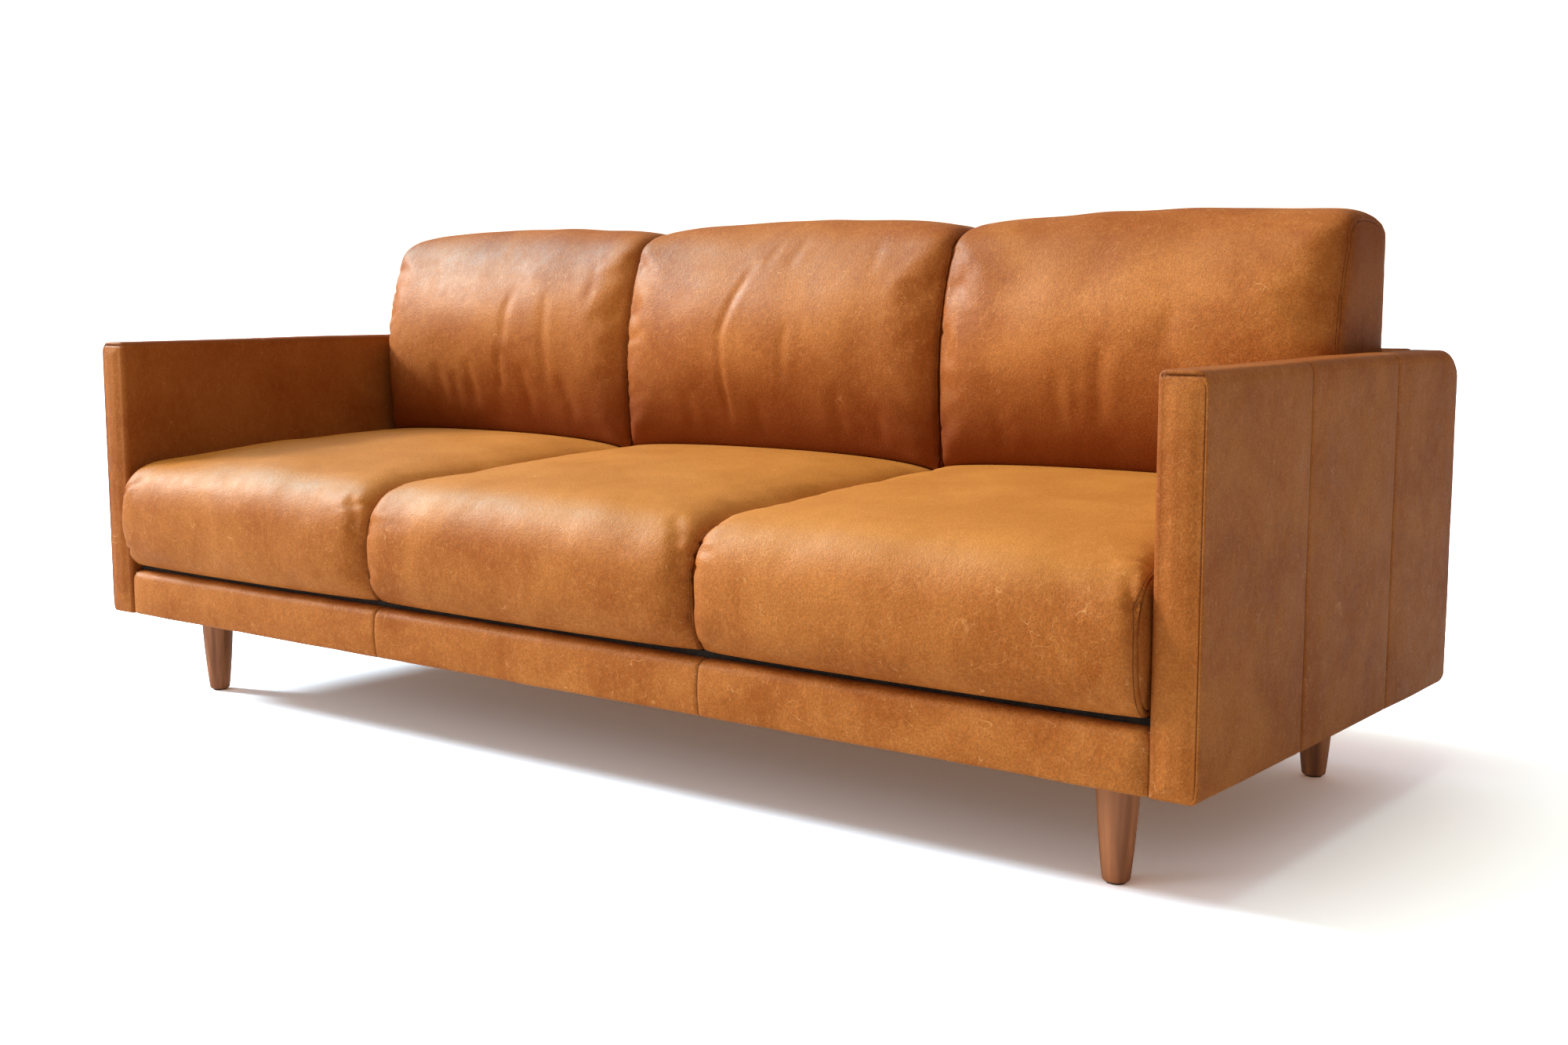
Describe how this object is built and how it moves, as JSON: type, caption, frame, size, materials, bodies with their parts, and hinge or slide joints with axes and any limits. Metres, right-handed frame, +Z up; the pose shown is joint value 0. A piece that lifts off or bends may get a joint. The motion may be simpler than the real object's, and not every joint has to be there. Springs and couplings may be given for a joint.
{
  "type": "three-seat sofa",
  "caption": "Long low sofa with slim square arms, a row of boxed leather seat cushions, loose back cushions and round tapered wooden legs.",
  "frame": {"origin": "on the floor under the middle of the sofa's outline", "axes": "+Z up; the seats face -Y; +X towards the right-hand arm seen from the front"},
  "size_m": [2.28, 0.946, 0.9045],
  "materials": {
    "leather": "satin",
    "walnut": "satin",
    "timber": "matte",
    "steel": "satin",
    "black_cloth": "matte",
    "foam": "matte",
    "webbing": "matte",
    "glide": "matte"
  },
  "bodies": {
    "root": {"front_rail": "timber", "rear_rail": "timber", "end_rail_left": "timber", "end_rail_right": "timber", "cross_rails": "timber", "leg_blocks": "timber", "leg_plates": "steel", "plate_screws": "steel", "hanger_bolts": "steel", "leg_front_left": "walnut", "leg_front_right": "walnut", "leg_rear_left": "walnut", "leg_rear_right": "walnut", "foot_glides": "glide", "seat_springs": "steel", "spring_clips": "steel", "tie_wires": "steel", "deck_pad": "foam", "deck_cloth": "black_cloth", "dust_cover": "black_cloth", "back_top_rail": "timber", "back_posts": "timber", "back_webbing": "webbing", "back_board": "timber", "back_pad": "foam", "inside_back_cover": "leather", "outside_back_cover": "leather", "arm_posts_left": "timber", "arm_posts_right": "timber", "arm_top_rail_left": "timber", "arm_top_rail_right": "timber", "arm_bottom_rail_left": "timber", "arm_bottom_rail_right": "timber", "arm_pad_left": "foam", "arm_pad_right": "foam", "arm_cover_left": "leather", "arm_cover_right": "leather", "arm_front_panel_left": "leather", "arm_front_panel_right": "leather", "arm_bolts": "steel", "arm_washers": "steel", "rail_pad": "foam", "rail_cover": "leather"},
    "seat_cushion_left": {"seat_cover_left": "leather", "seat_core_left": "foam"},
    "seat_cushion_centre": {"seat_cover_centre": "leather", "seat_core_centre": "foam"},
    "seat_cushion_right": {"seat_cover_right": "leather", "seat_core_right": "foam"},
    "back_cushion_left": {"back_cover_left": "leather", "back_fill_left": "foam"},
    "back_cushion_centre": {"back_cover_centre": "leather", "back_fill_centre": "foam"},
    "back_cushion_right": {"back_cover_right": "leather", "back_fill_right": "foam"}
  },
  "joints": [
    {"name": "seat_left_pull", "type": "slide", "parent": "root", "child": "seat_cushion_left", "axis": [0, -1, 0], "range_m": [0, 0.3]},
    {"name": "seat_centre_pull", "type": "slide", "parent": "root", "child": "seat_cushion_centre", "axis": [0, -1, 0], "range_m": [0, 0.3]},
    {"name": "seat_right_pull", "type": "slide", "parent": "root", "child": "seat_cushion_right", "axis": [0, -1, 0], "range_m": [0, 0.3]},
    {"name": "back_left_lift", "type": "slide", "parent": "root", "child": "back_cushion_left", "axis": [0, 0, 1], "range_m": [0, 0.3]},
    {"name": "back_centre_lift", "type": "slide", "parent": "root", "child": "back_cushion_centre", "axis": [0, 0, 1], "range_m": [0, 0.3]},
    {"name": "back_right_lift", "type": "slide", "parent": "root", "child": "back_cushion_right", "axis": [0, 0, 1], "range_m": [0, 0.3]}
  ]
}
